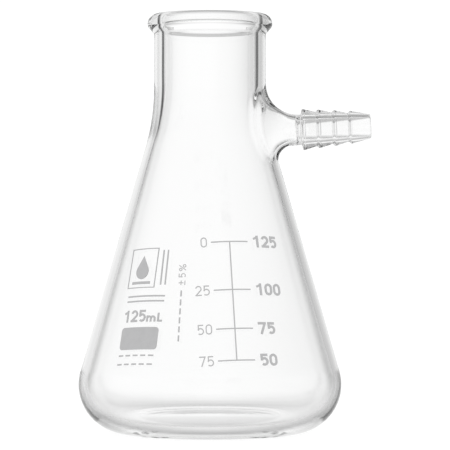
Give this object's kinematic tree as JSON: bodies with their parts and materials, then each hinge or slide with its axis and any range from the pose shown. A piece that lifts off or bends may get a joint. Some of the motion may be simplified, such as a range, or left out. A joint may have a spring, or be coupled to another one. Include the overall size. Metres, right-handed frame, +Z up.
{
  "type": "filtering flask",
  "caption": "Heavy-wall conical filtering flask in clear glass, with a rolled bead, a barbed side arm for vacuum hose and a printed enamel volume scale.",
  "frame": {"origin": "centre of the base, on the surface that the flask stands on", "axes": "+Z up along the flask's axis and out of the neck, +X towards the side arm, -Y towards the printed scale"},
  "size_m": [0.0791, 0.071, 0.1132],
  "materials": {
    "glass": "clear, fire polished",
    "enamel": "fired ceramic enamel, satin"
  },
  "bodies": {
    "root": {"flask_body": "glass", "side_arm": "glass", "graduation_scale": "enamel", "filled_125": "enamel", "filled_100": "enamel", "filled_75": "enamel", "filled_50": "enamel", "poured_0": "enamel", "poured_25": "enamel", "poured_50": "enamel", "poured_75": "enamel", "capacity_mark": "enamel", "marking_spot": "enamel", "emblem": "enamel", "name_rules": "enamel", "note_rules": "enamel", "tolerance_mark": "enamel"}
  },
  "joints": []
}
